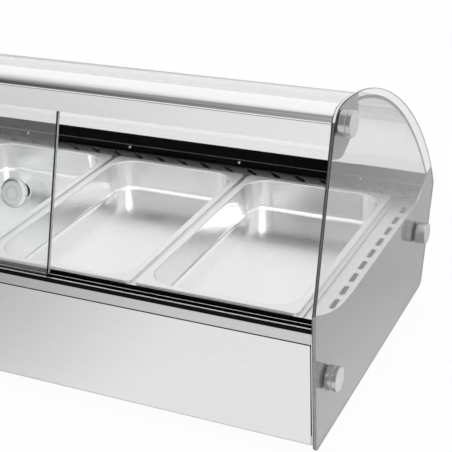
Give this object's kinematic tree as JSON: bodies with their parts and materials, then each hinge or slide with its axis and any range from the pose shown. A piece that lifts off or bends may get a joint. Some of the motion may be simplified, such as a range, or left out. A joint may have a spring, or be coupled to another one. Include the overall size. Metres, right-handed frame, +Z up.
{
  "type": "heated display case",
  "caption": "Countertop heated display case with bent customer glass, leaning sliding glass doors, a slotted steel deck and full-size food pans over a dry heated well.",
  "frame": {"origin": "on the counter, under the middle of the case's overall box", "axes": "+X along the case, to the operator's right; +Y from the operator to the customer; +Z up"},
  "size_m": [1.1906, 0.721, 0.615],
  "materials": {
    "panel_steel": "fine brushed",
    "deck_steel": "fine brushed",
    "pan_steel": "bright pressed",
    "hood_metal": "satin",
    "track_black": "satin black",
    "chrome": "polished",
    "aluminium": "mill",
    "glass": "clear tempered",
    "rubber": "matt",
    "plastic_black": "satin",
    "green": "gloss",
    "amber": "gloss lens",
    "lamp_white": "white enamel",
    "lamp_glass": "frosted",
    "terminal": "ceramic white",
    "heater_steel": "heat-darkened sheath",
    "wool": "mineral wool"
  },
  "bodies": {
    "case": {"base_tray": "panel_steel", "front_panel": "panel_steel", "front_strip": "panel_steel", "rear_panel": "panel_steel", "side_panel_left": "panel_steel", "side_panel_right": "panel_steel", "deck_frame": "deck_steel", "side_grate_left": "deck_steel", "side_grate_right": "deck_steel", "crossbar_1": "deck_steel", "crossbar_2": "deck_steel", "rear_outlet": "deck_steel", "well_tub": "deck_steel", "hood_rail": "hood_metal", "hood_fascia": "hood_metal", "lower_track": "track_black", "upper_track": "track_black", "rear_channel": "track_black", "standoff_upper_left": "chrome", "standoff_upper_right": "chrome", "standoff_rear_left": "chrome", "standoff_rear_right": "chrome", "standoff_front_left": "chrome", "standoff_front_right": "chrome", "thermostat_sensor": "chrome", "hood_bracket_left": "aluminium", "hood_bracket_right": "aluminium", "heater_rack_front": "aluminium", "heater_rack_rear": "aluminium", "side_glass_left": "glass", "side_glass_right": "glass", "curved_glass": "glass", "foot_front_left": "rubber", "foot_front_right": "rubber", "foot_rear_left": "rubber", "foot_rear_right": "rubber", "thermostat_body": "plastic_black", "switch_housing": "plastic_black", "cord_gland": "plastic_black", "lamp_holder_left": "plastic_black", "lamp_holder_right": "plastic_black", "pilot_lamp": "amber", "lamp_housing": "lamp_white", "lamp_tube": "lamp_glass", "terminal_block": "terminal", "heater_1": "heater_steel", "heater_2": "heater_steel", "heater_3": "heater_steel", "insulation": "wool"},
    "right_door": {"right_door_glass": "glass", "door_knob": "chrome"},
    "left_door": {"left_door_glass": "glass", "left_door_pull": "aluminium"},
    "pan_left": {"pan_1": "pan_steel"},
    "pan_middle": {"pan_2": "pan_steel"},
    "pan_right": {"pan_3": "pan_steel"},
    "thermostat_dial": {"thermostat_knob": "plastic_black"},
    "power_switch": {"power_rocker": "green"},
    "light_switch": {"light_rocker": "plastic_black"}
  },
  "joints": [
    {"name": "right_door_slide", "type": "slide", "parent": "case", "child": "right_door", "axis": [1, 0, 0], "range_m": [-0.002, 0.504]},
    {"name": "left_door_slide", "type": "slide", "parent": "case", "child": "left_door", "axis": [1, 0, 0], "range_m": [0, 0.506]},
    {"name": "pan_left_lift", "type": "slide", "parent": "case", "child": "pan_left", "axis": [0, 0, 1], "range_m": [0, 0.06]},
    {"name": "pan_middle_lift", "type": "slide", "parent": "case", "child": "pan_middle", "axis": [0, 0, 1], "range_m": [0, 0.06]},
    {"name": "pan_right_lift", "type": "slide", "parent": "case", "child": "pan_right", "axis": [0, 0, 1], "range_m": [0, 0.06]},
    {"name": "thermostat_turn", "type": "hinge", "parent": "case", "child": "thermostat_dial", "pos_m": [-0.46, -0.345, 0.14], "axis": [0, 1, 0], "range_deg": [0, 270]},
    {"name": "power_rock", "type": "hinge", "parent": "case", "child": "power_switch", "pos_m": [-0.385, -0.3458, 0.14], "axis": [1, 0, 0], "range_deg": [0, 14]},
    {"name": "light_rock", "type": "hinge", "parent": "case", "child": "light_switch", "pos_m": [-0.363, -0.3458, 0.14], "axis": [1, 0, 0], "range_deg": [0, 14]}
  ]
}
